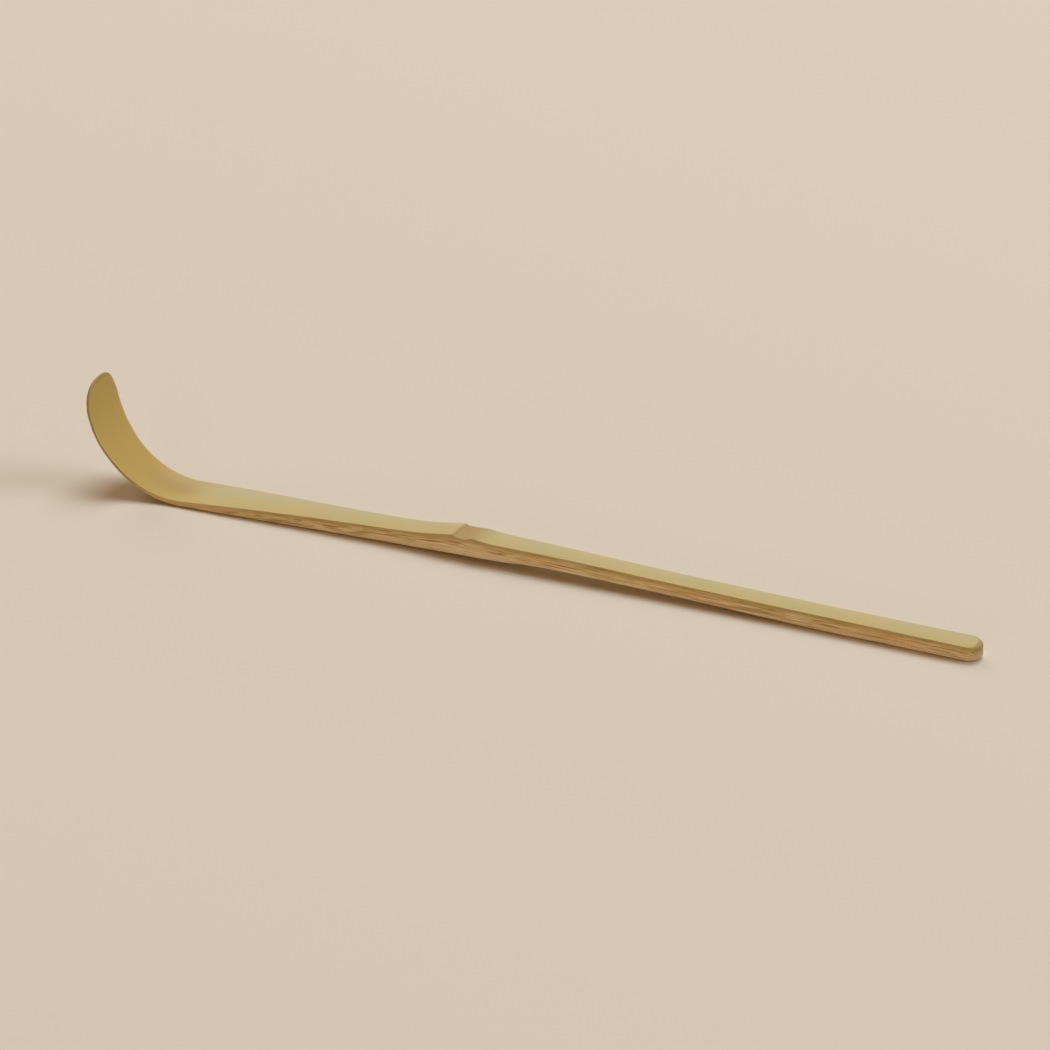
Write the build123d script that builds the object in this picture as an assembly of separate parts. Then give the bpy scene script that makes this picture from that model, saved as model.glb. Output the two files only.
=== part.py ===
"""Tea scoop carved and bent from one strip of split bamboo.

Millimetres. The scoop lies on a table at z = 0 with the bamboo's skin upwards.
The bent blade is at -X, the cut end of the grip at +X, and the strip is alike on both sides of y = 0.
"""

import math
import os

from build123d import *

# Heights are measured up from the table to the skin, and lifts up from the table to the underside.
# Lengths run along the strip, each from the station that is named before it, and turns are in degrees.

# Bend and blade: from the heel the skin line curls up in two arcs, a tight bend and then an opener blade
bend_radius = 16.6
bend_turn = 48.5
bend_width = 10.7
bend_thickness = 0.8
bend_hollow = 0.25
blade_radius = 20.6
flare_turn = 27.0
tip_turn = 21.7
blade_width = 11.7
blade_thickness = 0.65
blade_hollow = 0.15
tip_round = 5.3
tip_trim = 0.1

# Heel, shoulder and neck: the underside is flat on the table under the heel and the shoulder
heel_height = 1.3
heel_width = 9.3
heel_hollow = 0.42
shoulder_length = 12.0
shoulder_height = 2.03
shoulder_width = 8.0
shoulder_hollow = 0.15
neck_length = 18.0
neck_height = 2.85
neck_width = 6.0
neck_lift = 0.06
neck_crown = 0.06

# Culm node: the skin climbs to the sheath scar, steps down over a ledge and swells once more
rise_length = 17.8
rise_height = 3.7
rise_width = 5.0
rise_lift = 0.32
climb_length = 8.0
scar_height = 4.85
scar_width = 5.1
scar_lift = 0.57
ledge_drop = 0.3
swell_length = 3.8
swell_height = 4.67
swell_width = 5.5
swell_lift = 0.75
fall_length = 5.2
fall_height = 4.4
fall_width = 5.2
fall_lift = 0.87
node_crown = 0.12

# Grip: a low arch from the node to the flat run by the cut end
root_length = 9.5
root_height = 4.3
root_width = 4.7
root_lift = 1.33
arch_length = 27.5
arch_height = 3.67
arch_width = 4.36
arch_lift = 0.81
landing_length = 33.0
landing_height = 3.2
landing_width = 4.5
end_length = 25.1
end_height = 3.0
end_width = 4.9
end_corner_radius = 1.9
end_softening = 0.5
grip_crown = 0.08

# Cross-section: crisp upper edges where the skin was cut through, soft lower edges, and sides that lean in
# by the given millimetres for each millimetre down
skin_edge = 0.12
side_lean = 0.03
lower_edge_radius = 0.35

# Largest share of a wall that one rounded edge takes up
fullest_round = 0.48

# Depth that is skimmed off the underside to make the resting runs flat
rest_skim = 0.06

# Room that the rounded tip and end leave beside the faces that they run out into
trim_ease = 0.02

# Spacing of the sections that the lofts pass through
section_spacing = 2.6


def fair_curve(stations):
    """Smooth curve through (distance, size) stations that never swings past them."""
    spans = [(b[0] - a[0], (b[1] - a[1]) / (b[0] - a[0])) for a, b in zip(stations, stations[1:])]
    slopes = [spans[0][1]]
    for (run_a, slope_a), (run_b, slope_b) in zip(spans, spans[1:]):
        if slope_a * slope_b <= 0:
            slopes.append(0.0)
        else:
            weight_a = run_a + 2 * run_b
            weight_b = run_b + 2 * run_a
            slopes.append((weight_a + weight_b) / (weight_a / slope_a + weight_b / slope_b))
    slopes.append(spans[-1][1])

    def size_at(distance):
        index = 0
        while index < len(spans) - 1 and distance > stations[index + 1][0]:
            index += 1
        run = spans[index][0]
        share = (distance - stations[index][0]) / run
        rest = 1 - share
        first = stations[index][1] * (1 + 2 * share) + slopes[index] * run * share
        last = stations[index + 1][1] * (1 + 2 * rest) - slopes[index + 1] * run * rest
        return first * rest**2 + last * share**2

    return size_at


def spaced(start, end):
    """Evenly spaced distances from start to end, ends included."""
    count = math.ceil((end - start) / section_spacing)
    return [start + (end - start) * step / count for step in range(count + 1)]


def section(plane, width, thickness, bow):
    """Cross-section hung from the skin, whose middle bows up, or hollows where bow is negative."""
    side = width / 2
    top = side - skin_edge
    rounding = min(lower_edge_radius, fullest_round * (thickness - skin_edge))
    foot = side - side_lean * (thickness - skin_edge - rounding)
    sole = foot - rounding
    flank_end = rounding - thickness
    inset = rounding * (1 - math.sqrt(0.5))
    right_half = [
        Line((top, 0), (side, -skin_edge)),
        Line((side, -skin_edge), (foot, flank_end)),
        ThreePointArc((foot, flank_end), (foot - inset, inset - thickness), (sole, -thickness)),
    ]
    left_half = [edge.mirror(Plane.YZ) for edge in right_half]
    skin = ThreePointArc((-top, 0), (0, bow), (top, 0))
    underside = Line((sole, -thickness), (-sole, -thickness))
    return plane * Face(Wire([skin, *right_half, underside, *left_half[::-1]]))


def arc_point(start, heading, radius, distance):
    """Point and heading at a distance along an arc of the skin line that curls up to the left."""
    turned = heading + distance / radius
    x = start[0] - radius * (math.sin(turned) - math.sin(heading))
    z = start[1] + radius * (math.cos(heading) - math.cos(turned))
    return (x, z), turned


# Distances of the stations from the heel, positive towards the grip
shoulder_at = shoulder_length
neck_at = shoulder_at + neck_length
rise_at = neck_at + rise_length
scar_at = rise_at + climb_length
swell_at = scar_at + swell_length
fall_at = swell_at + fall_length
root_at = fall_at + root_length
arch_at = root_at + arch_length
landing_at = arch_at + landing_length
end_at = landing_at + end_length
bend_at = -bend_radius * math.radians(bend_turn)
flare_at = bend_at - blade_radius * math.radians(flare_turn)
tip_at = flare_at - blade_radius * math.radians(tip_turn)

# Skin line of the bend and blade, which leaves the heel in line with the neck
neck_slope = math.atan2(rise_height - heel_height, rise_at)
heel_point = (0, heel_height)
bend_point, bend_heading = arc_point(heel_point, -neck_slope, bend_radius, -bend_at)
tip_point, _ = arc_point(bend_point, bend_heading, blade_radius, bend_at - tip_at)

# Sizes along the blade, bend and neck
neck_skin = fair_curve(
    [
        (0, heel_height),
        (shoulder_at, shoulder_height),
        (neck_at, neck_height),
        (rise_at, rise_height),
        (scar_at, scar_height),
    ]
)
neck_widths = fair_curve(
    [
        (tip_at, blade_width),
        (flare_at, blade_width),
        (bend_at, bend_width),
        (0, heel_width),
        (shoulder_at, shoulder_width),
        (neck_at, neck_width),
        (rise_at, rise_width),
        (scar_at, scar_width),
    ]
)
neck_thicknesses = fair_curve(
    [
        (tip_at, blade_thickness),
        (bend_at, bend_thickness),
        (0, heel_height + rest_skim),
        (shoulder_at, shoulder_height + rest_skim),
        (neck_at, neck_height - neck_lift),
        (rise_at, rise_height - rise_lift),
        (scar_at, scar_height - scar_lift),
    ]
)
neck_bows = fair_curve(
    [
        (tip_at, -blade_hollow),
        (bend_at, -bend_hollow),
        (0, -heel_hollow),
        (shoulder_at, -shoulder_hollow),
        (neck_at, neck_crown),
        (rise_at, neck_crown),
        (scar_at, node_crown),
    ]
)

# Blade, bend and neck in one loft that ends at the sheath scar
blade_sections = []
for distance in spaced(tip_at, scar_at):
    if distance > 0:
        point = (distance, neck_skin(distance))
        heading = 0
    elif distance > bend_at:
        point, heading = arc_point(heel_point, -neck_slope, bend_radius, -distance)
    else:
        point, heading = arc_point(bend_point, bend_heading, blade_radius, bend_at - distance)
    plane = Plane(
        origin=(point[0], 0, point[1]),
        x_dir=(0, 1, 0),
        z_dir=(math.cos(heading), 0, -math.sin(heading)),
    )
    blade_sections.append(
        section(plane, neck_widths(distance), neck_thicknesses(distance), neck_bows(distance))
    )
blade_and_neck = loft(blade_sections)

# Sizes along the swelling and the grip
grip_skin = fair_curve(
    [
        (scar_at, scar_height - ledge_drop),
        (swell_at, swell_height),
        (fall_at, fall_height),
        (root_at, root_height),
        (arch_at, arch_height),
        (landing_at, landing_height),
        (end_at, end_height),
    ]
)
grip_widths = fair_curve(
    [
        (scar_at, scar_width - 2 * side_lean * ledge_drop),
        (swell_at, swell_width),
        (fall_at, fall_width),
        (root_at, root_width),
        (arch_at, arch_width),
        (landing_at, landing_width),
        (end_at, end_width),
    ]
)
grip_lifts = fair_curve(
    [
        (scar_at, scar_lift),
        (swell_at, swell_lift),
        (fall_at, fall_lift),
        (root_at, root_lift),
        (arch_at, arch_lift),
        (landing_at, -rest_skim),
        (end_at, -rest_skim),
    ]
)
grip_bows = fair_curve(
    [
        (scar_at, node_crown),
        (fall_at, node_crown),
        (root_at, grip_crown),
        (end_at, grip_crown),
    ]
)

# Swelling and grip in a second loft that starts one ledge lower at the scar, with its sides in line
grip_sections = []
for distance in spaced(scar_at, end_at):
    height = grip_skin(distance)
    plane = Plane(origin=(distance, 0, height), x_dir=(0, 1, 0), z_dir=(1, 0, 0))
    thickness = height - grip_lifts(distance)
    grip_sections.append(section(plane, grip_widths(distance), thickness, grip_bows(distance)))
swell_and_grip = loft(grip_sections)

# One strip, skimmed flat at the table
strip = split(swell_and_grip + blade_and_neck, bisect_by=Plane.XY, keep=Keep.TOP)

# Tip pared to half an ellipse, as seen along the strip
tip_top = tip_point[1] - tip_trim
tip_waste = Pos(0, tip_top) * Rectangle(2 * blade_width, 2 * tip_round)
tip_waste -= Pos(0, tip_top - tip_round) * Ellipse(blade_width / 2 + trim_ease, tip_round)
strip -= extrude(Plane.YZ.offset(tip_point[0]) * tip_waste, blade_radius, both=True)


def corner_waste(across, radius):
    """What two rounded corners leave over of a square end at the right of the origin."""
    corner = min(radius, fullest_round * across)
    square_end = Pos(-corner / 2, 0) * Rectangle(corner, 2 * across)
    return square_end - Pos(-across, 0) * RectangleRounded(2 * across, across, corner)


# Cut end with its corners rounded in plan, and its skin and sole edges rounded in side view
end_top = grip_skin(end_at - end_softening) + grip_crown + trim_ease
plan_waste = Pos(end_at, 0, 0) * corner_waste(end_width, end_corner_radius)
side_plane = Plane.XZ * Pos(end_at, end_top / 2)
side_waste = side_plane * corner_waste(end_top, end_softening)
strip -= extrude(plan_waste, end_top)
strip -= extrude(side_waste, end_width, both=True)

# The origin is under the middle of the whole length
scoop = Pos(-strip.bounding_box().center().X, 0, 0) * strip

os.makedirs("parts", exist_ok=True)
export_step(scoop, "parts/tea_scoop.step")
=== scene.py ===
"""Looks of a bamboo tea scoop on a pale table, for Blender 4.5.

Metres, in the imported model's frame: the blade is at -X, the cut end of the grip at +X, the table at z = 0.
"""

import math

import bmesh
import bpy
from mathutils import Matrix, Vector, noise


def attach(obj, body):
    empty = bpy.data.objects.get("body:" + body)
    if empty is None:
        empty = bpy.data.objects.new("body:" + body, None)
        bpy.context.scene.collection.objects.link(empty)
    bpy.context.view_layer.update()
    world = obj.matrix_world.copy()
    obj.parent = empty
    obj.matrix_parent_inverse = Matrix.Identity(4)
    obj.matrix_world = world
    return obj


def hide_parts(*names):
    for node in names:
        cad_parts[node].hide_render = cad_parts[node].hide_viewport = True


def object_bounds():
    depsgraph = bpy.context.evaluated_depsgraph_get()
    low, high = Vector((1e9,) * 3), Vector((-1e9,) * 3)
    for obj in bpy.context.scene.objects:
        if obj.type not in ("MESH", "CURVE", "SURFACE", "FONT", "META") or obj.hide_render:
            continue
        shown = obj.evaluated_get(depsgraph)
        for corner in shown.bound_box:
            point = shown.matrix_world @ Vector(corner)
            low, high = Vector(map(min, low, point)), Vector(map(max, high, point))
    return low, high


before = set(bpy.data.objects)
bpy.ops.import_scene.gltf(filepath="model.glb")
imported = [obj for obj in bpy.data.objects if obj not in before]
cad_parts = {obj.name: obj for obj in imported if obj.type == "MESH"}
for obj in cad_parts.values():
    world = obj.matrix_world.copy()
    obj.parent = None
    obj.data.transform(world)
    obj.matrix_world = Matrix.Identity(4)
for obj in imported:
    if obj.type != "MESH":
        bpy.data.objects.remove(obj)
cad_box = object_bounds()

# Tea scoop: one strip of split bamboo with its skin upwards, and bare flesh on its sides and sole.
# The maker pares the straight strip to its widths and thicknesses, rounds the tip and the cut end,
# and bends the blade up over heat. The mesh is cut, pared and bent in the same order.
mm = 0.001

# Bend and blade, which curl up from the heel in two arcs, with the full width kept for a length at the tip
# (radii and lengths in millimetres, turns in degrees)
bend_radius = 16.6
bend_turn = math.radians(48.5)
blade_radius = 20.6
blade_turn = math.radians(48.7)
full_width_length = 7.8
bend_at = -bend_radius * bend_turn
tip_at = bend_at - blade_radius * blade_turn
flare_at = tip_at + full_width_length

# Stations along the straight strip in millimetres from the heel. The middle of the rounded cut end bulges
# a little past the CAD's flatter end.
shoulder_at = 12.0
neck_at = 30.0
rise_at = 47.8
scar_at = 55.8
swell_at = 59.6
fall_at = 64.8
root_at = 74.3
arch_at = 101.8
landing_at = 134.8
end_at = 159.9
end_bulge = 0.25
cut_end_at = end_at + end_bulge


def fair_curve(*stations):
    """Smooth curve through (distance, size) stations that never swings past them."""
    spans = [(b[0] - a[0], (b[1] - a[1]) / (b[0] - a[0])) for a, b in zip(stations, stations[1:])]
    slopes = [spans[0][1]]
    for (run_a, slope_a), (run_b, slope_b) in zip(spans, spans[1:]):
        if slope_a * slope_b <= 0:
            slopes.append(0.0)
        else:
            weight_a = run_a + 2 * run_b
            weight_b = run_b + 2 * run_a
            slopes.append((weight_a + weight_b) / (weight_a / slope_a + weight_b / slope_b))
    slopes.append(spans[-1][1])

    def size_at(distance):
        index = 0
        while index < len(spans) - 1 and distance > stations[index + 1][0]:
            index += 1
        run = spans[index][0]
        share = (distance - stations[index][0]) / run
        rest = 1 - share
        first = stations[index][1] * (1 + 2 * share) + slopes[index] * run * share
        last = stations[index + 1][1] * (1 + 2 * rest) - slopes[index + 1] * run * rest
        return first * rest**2 + last * share**2

    return size_at


# Heights of the skin over the table before and after the ledge of the sheath scar
neck_skin = fair_curve((0, 1.3), (shoulder_at, 2.03), (neck_at, 2.85), (rise_at, 3.7), (scar_at, 4.85))
grip_skin = fair_curve(
    (scar_at, 4.55), (swell_at, 4.67), (fall_at, 4.4), (root_at, 4.3),
    (arch_at, 3.67), (landing_at, 3.2), (end_at, 3.0),
)
# Line that the fibres follow through the node, which the ledge and groove were cut across
plain_skin = fair_curve(
    (0, 1.3), (shoulder_at, 2.03), (neck_at, 2.85), (rise_at, 3.7), (swell_at, 4.67), (fall_at, 4.4),
    (root_at, 4.3), (arch_at, 3.67), (landing_at, 3.2), (end_at, 3.0),
)
# Lifts of the sole over the table under the neck and the grip, and thicknesses of the bend and blade
sole_lift = fair_curve(
    (0, 0), (shoulder_at, 0), (neck_at, 0.06), (rise_at, 0.32), (scar_at, 0.57), (swell_at, 0.75),
    (fall_at, 0.87), (root_at, 1.33), (arch_at, 0.81), (landing_at, 0), (end_at, 0),
)
blade_thickness = fair_curve((tip_at, 0.65), (bend_at, 0.8), (0, 1.3))
strip_width = fair_curve(
    (tip_at, 11.8), (flare_at, 11.8), (bend_at, 10.65), (0, 9.3), (shoulder_at, 8.0), (neck_at, 6.0),
    (rise_at, 5.0), (scar_at, 5.1), (swell_at, 5.5), (fall_at, 5.2), (root_at, 4.7),
    (arch_at, 4.36), (landing_at, 4.5), (end_at, 4.9),
)
# Crown of the skin across the strip, which is a hollow where it is negative
skin_crown = fair_curve(
    (tip_at, -0.15), (bend_at, -0.25), (0, -0.42), (shoulder_at, -0.15), (neck_at, 0.06),
    (rise_at, 0.06), (scar_at, 0.12), (fall_at, 0.12), (root_at, 0.08), (end_at, 0.08),
)

# Edges in millimetres: a crisp arris where the skin was cut through, sides that lean in for each millimetre
# down, and a sole whose edges rise by the camber, or by a share of the thickness where the strip is thin.
# The lower rounding takes up no more than its fullest share of a wall.
arris_radius = 0.14
sole_edge_radius = 0.15
sole_camber = 0.15
sole_camber_share = 0.22
side_lean = 0.03
fullest_round = 0.45

# The tip and the cut end are pared by eye: length of the rounding and how full its shoulders are, on the
# near side and on the far side, and how far along the strip the outline still leans towards it
tip_rounds = {-1: (9.0, 3.3), 1: (6.3, 2.25)}
tip_fade = 14.0
end_rounds = {-1: (2.6, 2.2), 1: (3.0, 1.9)}
end_fade = 6.0

# A thin bevel on the skin side of the tip, and quarter rounds (length, depth) on the other end edges
tip_bevel_length = 0.8
tip_bevel_depth = 0.2
tip_sole_ease = (0.12, 0.1)
end_skin_ease = (0.6, 0.6)
end_sole_ease = (0.85, 0.85)

# Sheath scar: a thin ledge that runs askew and wanders, a groove after it that is deeper on the near side,
# and a hump that rises mostly on the near side. The neck's line runs on past the scar to the askew ledge.
# The lean draws the groove's deepest place along, and the gathers draw groove and hump to the near side.
ledge_middle_at = 56.15
ledge_skew = 0.38
ledge_wander = 0.16
ledge_waves = 1.6
ledge_softness = 0.85
neck_run_on = 1.0
groove_length = 4.0
groove_far_depth = 0.16
groove_near_depth = 0.42
groove_lean = 1.2
groove_gather = 2
hump_past_ledge = 3.7
hump_reach = 2.4
hump_height = 0.22
hump_gather = 3

# Steps of the blank: a sheet of quads for the skin, thickened to a bar whose walls are cut into rows.
# The skin runs over the arris and covers the first rows of each wall.
corner_steps = 3
steps_across = 30
steps_deep = 28
skin_rows = 2
bevel_steps = 8
neck_steps = 215
ledge_steps = 36
grip_steps = 245
ease_steps = 6


def evenly(start, end, count):
    """Evenly spaced distances from start up to, but not including, end."""
    return [start + (end - start) * step / count for step in range(count)]


# Rings are closer in the bevel of the tip, over the ledge and in the rounds of the cut end.
# The skin stops at a ring of its own, where the bare cut end begins.
bevel_crowding = 1.5
ledge_from = scar_at - 0.5
ledge_to = scar_at + 1.3
bare_end_length = 1.05
bevel_end_at = tip_at + tip_bevel_length
sole_round_at = cut_end_at - end_sole_ease[0]
skin_round_at = cut_end_at - end_skin_ease[0]
skin_end_at = cut_end_at - bare_end_length
rings = [tip_at + tip_bevel_length * (step / bevel_steps) ** bevel_crowding for step in range(bevel_steps)]
rings += evenly(bevel_end_at, ledge_from, neck_steps)
rings += evenly(ledge_from, ledge_to, ledge_steps)
rings += evenly(ledge_to, skin_end_at, grip_steps)
rings += [skin_end_at]
rings += evenly(sole_round_at, skin_round_at, ease_steps)
ease_turns = evenly(0, math.pi / 2, ease_steps)
rings += [cut_end_at - end_skin_ease[0] * (1 - math.sin(turn)) for turn in ease_turns]
rings += [cut_end_at]
steps_along = len(rings) - 1

scoop_mesh = bpy.data.meshes.new("tea_scoop_strip")
strip = bmesh.new()
bmesh.ops.create_grid(strip, x_segments=steps_along, y_segments=steps_across, size=0.5)
bmesh.ops.scale(strip, vec=(steps_along, steps_across, 1), verts=strip.verts)
bmesh.ops.translate(strip, vec=(steps_along / 2, 0, 0), verts=strip.verts)
sole_sheet = bmesh.ops.extrude_face_region(strip, geom=strip.faces[:])["geom"]
sole_verts = [part for part in sole_sheet if isinstance(part, bmesh.types.BMVert)]
bmesh.ops.translate(strip, vec=(0, 0, -steps_deep), verts=sole_verts)
uprights = [edge for edge in strip.edges if edge.verts[0].co.z != edge.verts[1].co.z]
bmesh.ops.subdivide_edges(strip, edges=uprights, cuts=steps_deep - 1, use_grid_fill=True)
bmesh.ops.recalc_face_normals(strip, faces=strip.faces)

# Between the bevel of the tip and the bare cut end the top is skin, and the rest is bare flesh
skin_slot = 0
flesh_slot = 1
skin_end_step = rings.index(skin_end_at)
for face in strip.faces:
    middle = face.calc_center_median()
    on_end = middle.x < bevel_steps or middle.x > skin_end_step
    face.material_index = flesh_slot if on_end or middle.z < -skin_rows else skin_slot
    face.smooth = True


def eased_step(value):
    """Smooth step from 0 to 1."""
    value = min(1, max(0, value))
    return value * value * (3 - 2 * value)


def rounded_corner(across, down):
    """Place in a rounded corner of radius 1, from shares of the way out across and out to the face."""
    reach = max(across, down)
    if reach == 0:
        return 0, 0
    turn = math.pi / 4 * (across / down if down >= across else 2 - down / across)
    return reach * math.sin(turn), reach * math.cos(turn)


def rounded_back(out, length, fullness):
    """Distance that a rounded end draws back at a share of the half width."""
    return length * (1 - max(0, 1 - out**fullness) ** (1 / fullness))


def quarter_round(from_end, length, depth):
    """Depth that a rounded edge takes off a face near an end."""
    return depth * (1 - math.sqrt(1 - max(0, 1 - from_end / length) ** 2))


def skin_height(distance, past_ledge, near_share):
    """Height of the skin over the table from the heel to the cut end, with the ledge, groove and hump."""
    share = eased_step(past_ledge / ledge_softness + 0.5)
    before = neck_skin(min(distance, scar_at + neck_run_on))
    after = grip_skin(max(distance, scar_at))
    height = before * (1 - share) + after * share
    along_groove = past_ledge / groove_length
    if 0 < along_groove < 1:
        depth = groove_far_depth + (groove_near_depth - groove_far_depth) * near_share**groove_gather
        height -= depth * math.sin(math.pi * along_groove**groove_lean)
    along_hump = 1 - abs(past_ledge - hump_past_ledge) / hump_reach
    return height + hump_height * near_share**hump_gather * eased_step(along_hump)


def bent(distance, skin, height):
    """Point of the bent strip in the plane y = 0, height millimetres above its skin line."""
    slope = math.atan2(neck_skin(rise_at) - neck_skin(0), rise_at)
    if distance >= 0:
        heading = -slope * (1 - eased_step(distance / shoulder_at))
        x, z = distance, skin
    else:
        start = -slope
        first_turn = min(-distance, -bend_at) / bend_radius
        heading = start + first_turn
        x = -bend_radius * (math.sin(heading) - math.sin(start))
        z = neck_skin(0) + bend_radius * (math.cos(start) - math.cos(heading))
        if distance < bend_at:
            start = heading
            heading = start + (bend_at - distance) / blade_radius
            x -= blade_radius * (math.sin(heading) - math.sin(start))
            z += blade_radius * (math.cos(start) - math.cos(heading))
    return x + height * math.sin(heading), z + height * math.cos(heading)


# Hand work: the knife leaves the sides and the sole a little uneven, and the fibres stand out on them.
# Real fibres lie closer together, and are drawn coarser so that the mesh can show them.
# The seeds are the places in the noise where the unevenness of ledge, sides and skin starts.
knife_depth = 0.045
knife_length = 13.0
knife_height = 2.5
fibre_depth = 0.028
fibre_length = 5.0
fibre_pitch = 0.4
skin_unevenness = 0.012
skin_wave_length = 6.0
skin_wave_width = 2.5
least_sole_lift = 0.03
ledge_seed = (0.4, 2.2)
side_seed = 3.7
skin_seed = 1.3

# The heel's place in the frame follows from the CAD's end. The attributes give the materials each point's
# place on the straight strip, its distance past the ledge and its distance from the edge.
heel_x = cad_box[1][0] / mm - end_at
strip_place = strip.verts.layers.float_vector.new("strip")
past_scar = strip.verts.layers.float.new("past_scar")
from_edge = strip.verts.layers.float.new("from_edge")
for vert in strip.verts:
    ring = rings[round(vert.co.x)]
    column = vert.co.y
    row = round(-vert.co.z)
    rows_up = steps_deep - row
    side_sign = -1 if column < 0 else 1

    # The rounded tip and cut end draw the outer columns back along the strip
    flat_share = min(1, abs(column) / (steps_across / 2 - corner_steps))
    spread = math.sin(math.pi / 2 * flat_share)
    corner_across = max(0, 1 - (steps_across / 2 - abs(column)) / corner_steps)
    half = strip_width(ring) / 2
    out = min(1, (spread * (half - arris_radius) + corner_across * arris_radius) / half)
    tip_share = max(0, 1 - (ring - tip_at) / tip_fade)
    end_share = max(0, 1 - (cut_end_at - ring) / end_fade)
    distance = ring + tip_share * rounded_back(out, *tip_rounds[side_sign])
    distance -= end_share * rounded_back(out, *end_rounds[side_sign])

    # Sizes of the cross-section there
    half = strip_width(distance) / 2
    ledge_at = ledge_middle_at + ledge_skew * out * side_sign
    ledge_at += ledge_wander * noise.noise(Vector((out * side_sign * ledge_waves, *ledge_seed)))
    past_ledge = distance - ledge_at
    skin_line = skin_height(max(0, distance), past_ledge, (1 - out * side_sign) / 2)
    if distance < 0:
        thickness = blade_thickness(distance)
    else:
        thickness = skin_line - sole_lift(distance)
    lower_edge = min(sole_edge_radius, fullest_round * (thickness - arris_radius))

    # Place in the cross-section: across from the middle line, and depth below the skin
    if row <= rows_up:
        radius = arris_radius
        corner_down = max(0, 1 - row / corner_steps)
    else:
        radius = lower_edge
        corner_down = max(0, 1 - rows_up / corner_steps)
    sideways, upright = rounded_corner(corner_across, corner_down)
    middle_share = min(1, max(0, (row - corner_steps) / (steps_deep - 2 * corner_steps)))
    depth = arris_radius + (thickness - arris_radius - lower_edge) * middle_share
    if row < corner_steps:
        depth = arris_radius * (1 - upright)
    elif rows_up < corner_steps:
        depth = thickness - lower_edge * (1 - upright)
    leaning_half = half - side_lean * depth
    if flat_share == 1:
        across = leaning_half - radius + radius * sideways
    else:
        across = spread * (leaning_half - radius)
    skin_share = 1 - depth / thickness
    height = skin_crown(distance) * (1 - min(1, across / half) ** 2) * skin_share - depth
    camber = min(sole_camber, sole_camber_share * thickness)
    height += camber * min(1, across / half) ** 2 * (1 - skin_share)

    # Bevel and rounds at the ends
    from_tip = ring - tip_at
    from_end = cut_end_at - ring
    skin_pared = tip_bevel_depth * max(0, 1 - from_tip / tip_bevel_length)
    skin_pared += quarter_round(from_end, *end_skin_ease)
    sole_pared = quarter_round(from_tip, *tip_sole_ease) + quarter_round(from_end, *end_sole_ease)
    height = height * (1 - (skin_pared + sole_pared) / thickness) - skin_pared

    # Unevenness of the hand-pared faces, along their own direction
    across *= side_sign
    fibre_place = Vector((distance / fibre_length, across / fibre_pitch, depth / fibre_pitch))
    knife_place = Vector((distance / knife_length, side_seed * side_sign, depth / knife_height))
    fibre = fibre_depth * noise.noise(fibre_place)
    knife = knife_depth * noise.noise(knife_place)
    if row >= skin_rows and corner_across == 1:
        across += side_sign * (knife + fibre - knife_depth / 2)
    elif row == steps_deep:
        height += least_sole_lift + knife / 2 + fibre
    elif row == 0:
        skin_place = Vector((distance / skin_wave_length, across / skin_wave_width, skin_seed))
        height += skin_unevenness * noise.noise(skin_place)

    x, z = bent(distance, skin_line, height)
    vert.co = ((heel_x + x) * mm, across * mm, max(0, z) * mm)
    fibre_line = plain_skin(max(0, distance)) - skin_line - height
    vert[strip_place] = (distance * mm, across * mm, fibre_line * mm)
    vert[past_scar] = past_ledge * mm
    vert[from_edge] = (half - abs(across)) * mm

strip.to_mesh(scoop_mesh)
strip.free()
scoop = bpy.data.objects.new("tea_scoop_strip", scoop_mesh)
bpy.context.collection.objects.link(scoop)


def linear(hex_colour):
    """Linear RGBA of an sRGB hex colour."""
    shares = [int(hex_colour[place:place + 2], 16) / 255 for place in (1, 3, 5)]
    return (*[s / 12.92 if s <= 0.04045 else ((s + 0.055) / 1.055) ** 2.4 for s in shares], 1)


def add_node(material, kind, inputs, ramp=(), **settings):
    """Shader node with its settings, and inputs that are values or the outputs of other nodes."""
    tree = material.node_tree
    node = tree.nodes.new(kind)
    for name, value in settings.items():
        setattr(node, name, value)
    for name, value in inputs.items():
        if isinstance(value, bpy.types.NodeSocket):
            tree.links.new(value, node.inputs[name])
        else:
            node.inputs[name].default_value = value
    for place, (position, hex_colour) in enumerate(ramp):
        stops = node.color_ramp.elements
        stop = stops[place] if place < len(stops) else stops.new(position)
        stop.position = position
        stop.color = linear(hex_colour)
    return node


# Colour inputs and output of a Mix node, which has one set for each kind of data
mix_factor, mix_first, mix_second, mix_result = 0, 6, 7, 2

# Bamboo skin: the culm's smooth outer face, scraped clean, cured and rubbed with use, with highlights painted
# along its edges.
# The eye gets a pale straw satin with a green tint and faint long streaks, tanned by the heat in the bend.
skin = bpy.data.materials.new("cured_bamboo_skin")
skin.use_nodes = True
skin.node_tree.nodes.clear()
place = add_node(skin, "ShaderNodeAttribute", {}, attribute_name="strip").outputs["Vector"]
axes = add_node(skin, "ShaderNodeSeparateXYZ", {"Vector": place})
# Fibres that show through the skin. Real ones lie closer together, and are drawn coarser so that they show.
streak_spacing = 0.55 * mm
streak_length = 28 * mm
streak_map = add_node(
    skin, "ShaderNodeMapping",
    {"Vector": place, "Scale": (1 / streak_length, 1 / streak_spacing, 1 / streak_spacing)},
)
streaks = add_node(
    skin, "ShaderNodeTexNoise",
    {"Vector": streak_map.outputs["Vector"], "Scale": 1.0, "Detail": 3.0, "Roughness": 0.55},
)
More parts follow.
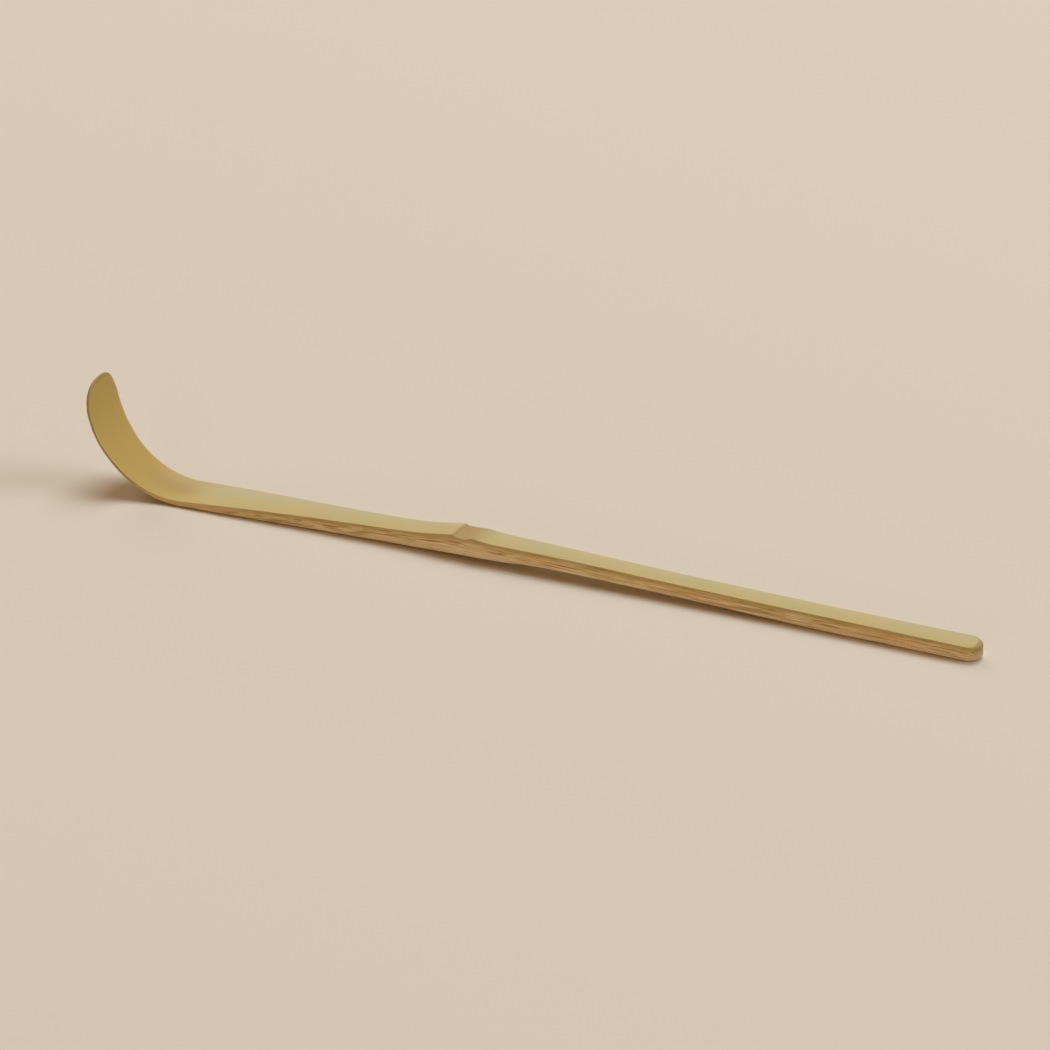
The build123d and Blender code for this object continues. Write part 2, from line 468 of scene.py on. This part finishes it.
# Clouds of greener and yellower straw, drawn out along the strip
cloud_length = 16 * mm
cloud_width = 3.5 * mm
cloud_map = add_node(
    skin, "ShaderNodeMapping",
    {"Vector": place, "Scale": (1 / cloud_length, 1 / cloud_width, 1 / cloud_width)},
)
clouds = add_node(
    skin, "ShaderNodeTexNoise",
    {"Vector": cloud_map.outputs["Vector"], "Scale": 1.0, "Detail": 2.0, "Roughness": 0.5},
)
straw = add_node(
    skin, "ShaderNodeValToRGB", {"Fac": clouds.outputs["Fac"]},
    ramp=((0.35, "#b6b189"), (0.65, "#bfb186")),
)
# Painted light and sheen: the skin is painted a little yellower from the far edge to the near one,
# standing in for the greyer sheen that the light from behind gives the far side
painted_light_from = 3.2 * mm
painted_light_full = -2.2 * mm
near_side_painted_light = add_node(
    skin, "ShaderNodeMapRange",
    {"Value": axes.outputs["Y"], "From Min": painted_light_from, "From Max": painted_light_full},
    interpolation_type="SMOOTHSTEP",
)
painted_sheen_mix = add_node(
    skin, "ShaderNodeMix",
    {
        mix_factor: near_side_painted_light.outputs["Result"],
        mix_first: straw.outputs["Color"],
        mix_second: linear("#fdf6d4"),
    },
    data_type="RGBA", blend_type="MULTIPLY",
)
# Tan of the heated bend and blade, which fades out past the heel
tan_from = 8 * mm
tan_full = -8 * mm
heat = add_node(
    skin, "ShaderNodeMapRange",
    {"Value": axes.outputs["X"], "From Min": tan_from, "From Max": tan_full},
    interpolation_type="SMOOTHSTEP",
)
tanned = add_node(
    skin, "ShaderNodeMix",
    {
        mix_factor: heat.outputs["Result"],
        mix_first: painted_sheen_mix.outputs[mix_result],
        mix_second: linear("#b3994f"),
    },
    data_type="RGBA",
)
# Painted shade: a darker place in the heel's hollow, a little towards the far side, where the hollow turns
# away from the light; drawn by its reach along and across, at any depth
hollow_shade_centre = (-4.5 * mm, 0.7 * mm, 0)
any_depth = 1000
hollow_shade_reach = (8.5 * mm, 4.2 * mm, any_depth)
hollow_shade_map = add_node(
    skin, "ShaderNodeMapping",
    {"Vector": place, "Location": hollow_shade_centre, "Scale": hollow_shade_reach},
    vector_type="TEXTURE",
)
hollow_shade_range = add_node(
    skin, "ShaderNodeVectorMath", {0: hollow_shade_map.outputs["Vector"]}, operation="LENGTH"
)
hollow_painted_shade = add_node(
    skin, "ShaderNodeMapRange",
    {"Value": hollow_shade_range.outputs["Value"], "From Min": 1.0, "From Max": 0.1, "To Max": 0.75},
    interpolation_type="SMOOTHSTEP",
)
hollow_shaded = add_node(
    skin, "ShaderNodeMix",
    {
        mix_factor: hollow_painted_shade.outputs["Result"],
        mix_first: tanned.outputs[mix_result],
        mix_second: linear("#a48b48"),
    },
    data_type="RGBA",
)
# Painted highlight: the skin is painted a little paler along its edges, where the arris catches the light
edge = add_node(skin, "ShaderNodeAttribute", {}, attribute_name="from_edge").outputs["Fac"]
edge_highlight_from = 0.6 * mm
edge_highlight_full = 0.1 * mm
edge_painted_highlight = add_node(
    skin, "ShaderNodeMapRange",
    {"Value": edge, "From Min": edge_highlight_from, "From Max": edge_highlight_full, "To Max": 0.3},
    interpolation_type="SMOOTHSTEP",
)
edge_highlighted = add_node(
    skin, "ShaderNodeMix",
    {
        mix_factor: edge_painted_highlight.outputs["Result"],
        mix_first: hollow_shaded.outputs[mix_result],
        mix_second: linear("#cab580"),
    },
    data_type="RGBA",
)
# Brown band of the sheath scar, which begins at the ledge and fades over the swelling
past = add_node(skin, "ShaderNodeAttribute", {}, attribute_name="past_scar").outputs["Fac"]
brown_from = -0.6 * mm
brown_full = 0.1 * mm
brown_fades_from = 0.8 * mm
brown_gone = 9.0 * mm
scar_start = add_node(
    skin, "ShaderNodeMapRange",
    {"Value": past, "From Min": brown_from, "From Max": brown_full},
    interpolation_type="SMOOTHSTEP",
)
scar_fade = add_node(
    skin, "ShaderNodeMapRange",
    {"Value": past, "From Min": brown_gone, "From Max": brown_fades_from},
    interpolation_type="SMOOTHSTEP",
)
scar_band = add_node(
    skin, "ShaderNodeMath",
    {0: scar_start.outputs["Result"], 1: scar_fade.outputs["Result"]},
    operation="MULTIPLY",
)
scarred = add_node(
    skin, "ShaderNodeMix",
    {
        mix_factor: scar_band.outputs["Value"],
        mix_first: edge_highlighted.outputs[mix_result],
        mix_second: linear("#a68b52"),
    },
    data_type="RGBA",
)
streak_shade = add_node(
    skin, "ShaderNodeMapRange",
    {"Value": streaks.outputs["Fac"], "From Min": 0.3, "From Max": 0.7, "To Min": 0.98, "To Max": 1.02},
)
streaked = add_node(
    skin, "ShaderNodeMix",
    {
        mix_factor: 1.0,
        mix_first: scarred.outputs[mix_result],
        mix_second: streak_shade.outputs["Result"],
    },
    data_type="RGBA", blend_type="MULTIPLY",
)
gloss = add_node(
    skin, "ShaderNodeMapRange",
    {"Value": streaks.outputs["Fac"], "From Min": 0.3, "From Max": 0.7, "To Min": 0.48, "To Max": 0.56},
)
skin_bump = add_node(
    skin, "ShaderNodeBump",
    {"Height": streaks.outputs["Fac"], "Strength": 0.15, "Distance": 0.02 * mm},
)
skin_shader = add_node(
    skin, "ShaderNodeBsdfPrincipled",
    {
        "Base Color": streaked.outputs[mix_result],
        "Roughness": gloss.outputs["Result"],
        "Specular IOR Level": 0.35,
        "Normal": skin_bump.outputs["Normal"],
    },
)
add_node(skin, "ShaderNodeOutputMaterial", {"Surface": skin_shader.outputs["BSDF"]})
scoop_mesh.materials.append(skin)

# Bamboo flesh: the split and pared wood under the skin, with fibre bundles that run along the strip.
# The eye gets tan and brown streaks on the sides, denser and darker by the skin and paler further in, and
# dots on the cut end.
flesh = bpy.data.materials.new("split_bamboo_flesh")
flesh.use_nodes = True
flesh.node_tree.nodes.clear()
place = add_node(flesh, "ShaderNodeAttribute", {}, attribute_name="strip").outputs["Vector"]
axes = add_node(flesh, "ShaderNodeSeparateXYZ", {"Vector": place})
# Fibre bundles, cut along on the sides and across at the end. Real ones are finer, and are drawn coarser so
# that they show.
bundle_width = 0.26 * mm
bundle_length = 4.5 * mm
bundle_map = add_node(
    flesh, "ShaderNodeMapping",
    {"Vector": place, "Scale": (1 / bundle_length, 1 / bundle_width, 1 / bundle_width)},
)
bundles = add_node(
    flesh, "ShaderNodeTexNoise",
    {"Vector": bundle_map.outputs["Vector"], "Scale": 1.0, "Detail": 3.0, "Roughness": 0.6},
)
fibre_colours = add_node(
    flesh, "ShaderNodeValToRGB", {"Fac": bundles.outputs["Fac"]},
    ramp=((0.3, "#b39657"), (0.44, "#d2b97b"), (0.55, "#dfc993"), (0.72, "#efdeb7")),
)
# Longer patches of slightly greener and redder wood
patch_length = 11 * mm
patch_width = 1.4 * mm
patch_map = add_node(
    flesh, "ShaderNodeMapping",
    {"Vector": place, "Scale": (1 / patch_length, 1 / patch_width, 1 / patch_width)},
)
patches = add_node(
    flesh, "ShaderNodeTexNoise",
    {"Vector": patch_map.outputs["Vector"], "Scale": 1.0, "Detail": 1.0},
)
patch_tint = add_node(
    flesh, "ShaderNodeValToRGB", {"Fac": patches.outputs["Fac"]},
    ramp=((0.35, "#f8f8ea"), (0.5, "#ffffff"), (0.7, "#fdeedd")),
)
patched = add_node(
    flesh, "ShaderNodeMix",
    {
        mix_factor: 1.0,
        mix_first: fibre_colours.outputs["Color"],
        mix_second: patch_tint.outputs["Color"],
    },
    data_type="RGBA", blend_type="MULTIPLY",
)
# Dark veins where a bundle's vessels were cut open, also drawn coarser than real ones
vein_width = 0.2 * mm
vein_length = 9 * mm
vein_map = add_node(
    flesh, "ShaderNodeMapping",
    {"Vector": place, "Scale": (1 / vein_length, 1 / vein_width, 1 / vein_width)},
)
veins = add_node(
    flesh, "ShaderNodeTexNoise",
    {"Vector": vein_map.outputs["Vector"], "Scale": 1.0, "Detail": 0.0},
)
vein_shade = add_node(
    flesh, "ShaderNodeValToRGB", {"Fac": veins.outputs["Fac"]},
    ramp=((0.3, "#c4a878"), (0.42, "#ffffff")),
)
veined = add_node(
    flesh, "ShaderNodeMix",
    {
        mix_factor: 1.0,
        mix_first: patched.outputs[mix_result],
        mix_second: vein_shade.outputs["Color"],
    },
    data_type="RGBA", blend_type="MULTIPLY",
)
# Painted light: the flesh under the node is painted paler and plainer, for a knife facet there that leans out
# and catches more light from the table; the paint ends in a sharp line at the facet's edge
lit_facet_from = 54.5 * mm
lit_facet_full = 57 * mm
lit_facet_ends_from = 64.8 * mm
lit_facet_gone = 65.3 * mm
lit_facet_start = add_node(
    flesh, "ShaderNodeMapRange",
    {"Value": axes.outputs["X"], "From Min": lit_facet_from, "From Max": lit_facet_full, "To Max": 0.4},
    interpolation_type="SMOOTHSTEP",
)
lit_facet_end = add_node(
    flesh, "ShaderNodeMapRange",
    {"Value": axes.outputs["X"], "From Min": lit_facet_gone, "From Max": lit_facet_ends_from},
)
lit_facet_band = add_node(
    flesh, "ShaderNodeMath",
    {0: lit_facet_start.outputs["Result"], 1: lit_facet_end.outputs["Result"]},
    operation="MULTIPLY",
)
lit_facet_painted = add_node(
    flesh, "ShaderNodeMix",
    {
        mix_factor: lit_facet_band.outputs["Value"],
        mix_first: veined.outputs[mix_result],
        mix_second: linear("#d7bf91"),
    },
    data_type="RGBA",
)
# The wood is darkest beside the skin and pales with its depth
pale_from = 1.4 * mm
pale_full = 2.9 * mm
rind_from = 1.4 * mm
rind_full = 0.3 * mm
inside = add_node(
    flesh, "ShaderNodeMapRange",
    {"Value": axes.outputs["Z"], "From Min": pale_from, "From Max": pale_full, "To Max": 0.4},
    interpolation_type="SMOOTHSTEP",
)
paled = add_node(
    flesh, "ShaderNodeMix",
    {
        mix_factor: inside.outputs["Result"],
        mix_first: lit_facet_painted.outputs[mix_result],
        mix_second: linear("#f6e9c8"),
    },
    data_type="RGBA",
)
by_skin = add_node(
    flesh, "ShaderNodeMapRange",
    {"Value": axes.outputs["Z"], "From Min": rind_from, "From Max": rind_full, "To Max": 0.65},
    interpolation_type="SMOOTHSTEP",
)
rinded = add_node(
    flesh, "ShaderNodeMix",
    {
        mix_factor: by_skin.outputs["Result"],
        mix_first: paled.outputs[mix_result],
        mix_second: linear("#a08c4b"),
    },
    data_type="RGBA",
)
# Thin rim of the heel, bend and blade, tan at the heel and olive on the heated blade
rim_from = 18 * mm
rim_full = 2 * mm
tan_rim_at = -4 * mm
olive_rim_at = -14 * mm
rim = add_node(
    flesh, "ShaderNodeMapRange",
    {"Value": axes.outputs["X"], "From Min": rim_from, "From Max": rim_full, "To Max": 0.7},
    interpolation_type="SMOOTHSTEP",
)
rim_place = add_node(
    flesh, "ShaderNodeMapRange",
    {"Value": axes.outputs["X"], "From Min": olive_rim_at, "From Max": tan_rim_at},
)
rim_colours = add_node(
    flesh, "ShaderNodeValToRGB", {"Fac": rim_place.outputs["Result"]},
    ramp=((0.0, "#968747"), (1.0, "#d1b471")),
)
rimmed = add_node(
    flesh, "ShaderNodeMix",
    {
        mix_factor: rim.outputs["Result"],
        mix_first: rinded.outputs[mix_result],
        mix_second: rim_colours.outputs["Color"],
    },
    data_type="RGBA",
)
# End grain of the cut end, dark beside the skin and paler below
grain_depth = 3 * mm
cut_from = 158.8 * mm
cut_full = 159.5 * mm
end_depth = add_node(
    flesh, "ShaderNodeMapRange", {"Value": axes.outputs["Z"], "From Min": 0.0, "From Max": grain_depth}
)
end_grain = add_node(
    flesh, "ShaderNodeValToRGB", {"Fac": end_depth.outputs["Result"]},
    ramp=((0.1, "#7a6430"), (0.35, "#8a7240"), (0.55, "#ab9163"), (0.9, "#b59c70")),
)
end_cut = add_node(
    flesh, "ShaderNodeMapRange",
    {"Value": axes.outputs["X"], "From Min": cut_from, "From Max": cut_full, "To Max": 0.5},
    interpolation_type="SMOOTHSTEP",
)
end_grained = add_node(
    flesh, "ShaderNodeMix",
    {
        mix_factor: end_cut.outputs["Result"],
        mix_first: rimmed.outputs[mix_result],
        mix_second: end_grain.outputs["Color"],
    },
    data_type="RGBA",
)
flesh_bump = add_node(
    flesh, "ShaderNodeBump",
    {"Height": bundles.outputs["Fac"], "Strength": 0.5, "Distance": 0.05 * mm},
)
flesh_shader = add_node(
    flesh, "ShaderNodeBsdfPrincipled",
    {
        "Base Color": end_grained.outputs[mix_result],
        "Roughness": 0.62,
        "IOR": 1.5,
        "Normal": flesh_bump.outputs["Normal"],
    },
)
add_node(flesh, "ShaderNodeOutputMaterial", {"Surface": flesh_shader.outputs["BSDF"]})
scoop_mesh.materials.append(flesh)

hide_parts("tea_scoop")
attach(scoop, "root")

# Table: a plain pale beige sheet that fills the view and carries the scoop.
# It is matt board, laid flat, a good deal larger than the camera sees.
floor_size = 3.0
floor_mesh = bpy.data.meshes.new("pale_floor")
sheet = bmesh.new()
bmesh.ops.create_grid(sheet, x_segments=1, y_segments=1, size=floor_size / 2)
sheet.to_mesh(floor_mesh)
sheet.free()
floor = bpy.data.objects.new("pale_floor", floor_mesh)
bpy.context.collection.objects.link(floor)
board = bpy.data.materials.new("matt_beige_board")
board.use_nodes = True
board.node_tree.nodes.clear()
board_shader = add_node(
    board, "ShaderNodeBsdfPrincipled",
    {"Base Color": linear("#d9d2c4"), "Roughness": 0.9, "Specular IOR Level": 0.1},
)
add_node(board, "ShaderNodeOutputMaterial", {"Surface": board_shader.outputs["BSDF"]})
floor_mesh.materials.append(board)

# Light: a wide soft panel high behind the scoop, a lower one on the right that models the blade, a weak
# warm one behind on the left, a low warm card in front, and a dim warm room that fills the shadows.
# Together they light the table about as brightly as its colour is written.
room_strength = 0.25
lamp_distance = 4.4
panel_size = 2.6
card_size = 2.0
world = bpy.data.worlds.new("pale_room")
bpy.context.scene.world = world
world.use_nodes = True
world.node_tree.nodes.clear()
room_light = add_node(
    world, "ShaderNodeBackground", {"Color": linear("#ffb870"), "Strength": room_strength}
)
room_seen = add_node(world, "ShaderNodeBackground", {"Color": linear("#dac9b6"), "Strength": 1.0})
rays = add_node(world, "ShaderNodeLightPath", {})
mirrored = add_node(
    world, "ShaderNodeMath",
    {0: rays.outputs["Is Camera Ray"], 1: rays.outputs["Is Glossy Ray"]},
    operation="MAXIMUM",
)
seen = add_node(
    world, "ShaderNodeMath",
    {0: mirrored.outputs["Value"], 1: rays.outputs["Is Transmission Ray"]},
    operation="MAXIMUM",
)
room = add_node(
    world, "ShaderNodeMixShader",
    {0: seen.outputs["Value"], 1: room_light.outputs["Background"], 2: room_seen.outputs["Background"]},
)
add_node(world, "ShaderNodeOutputWorld", {"Surface": room.outputs["Shader"]})


def hang_lamp(name, colour, size, energy, heading, elevation):
    """Round soft light that shines at the origin, its heading measured from +X and both angles in degrees."""
    light = bpy.data.lights.new(name, "AREA")
    light.shape = "DISK"
    light.size = size
    light.energy = energy
    light.color = linear(colour)[:3]
    lamp = bpy.data.objects.new(name, light)
    bpy.context.collection.objects.link(lamp)
    heading = math.radians(heading)
    elevation = math.radians(elevation)
    way = Vector((
        math.cos(elevation) * math.cos(heading),
        math.cos(elevation) * math.sin(heading),
        math.sin(elevation),
    ))
    lamp.location = way * lamp_distance
    lamp.rotation_euler = way.to_track_quat("Z", "Y").to_euler()


hang_lamp("back_panel", "#edf8ff", size=panel_size, energy=118, heading=90, elevation=65)
hang_lamp("right_panel", "#edf8ff", size=panel_size, energy=72, heading=20, elevation=32)
hang_lamp("left_panel", "#ffeedb", size=panel_size, energy=41, heading=140, elevation=35)
hang_lamp("front_card", "#ffefda", size=card_size, energy=44, heading=-85, elevation=6)

# Camera: a long lens from in front and above, as in the photograph
view_azimuth = math.radians(23.24)
view_elevation = math.radians(28)
view_distance = 1.1204
view_target = Vector((-0.00086, 0, 0.00852))
camera_data = bpy.data.cameras.new("camera")
camera_data.lens = 205.7
camera_data.sensor_width = 36
camera = bpy.data.objects.new("camera", camera_data)
bpy.context.collection.objects.link(camera)
camera_way = Vector((
    math.sin(view_azimuth) * math.cos(view_elevation),
    -math.cos(view_azimuth) * math.cos(view_elevation),
    math.sin(view_elevation),
))
camera.location = view_target + camera_way * view_distance
camera.rotation_euler = camera_way.to_track_quat("Z", "Y").to_euler()
bpy.context.scene.camera = camera
bpy.context.scene.view_settings.view_transform = "Standard"
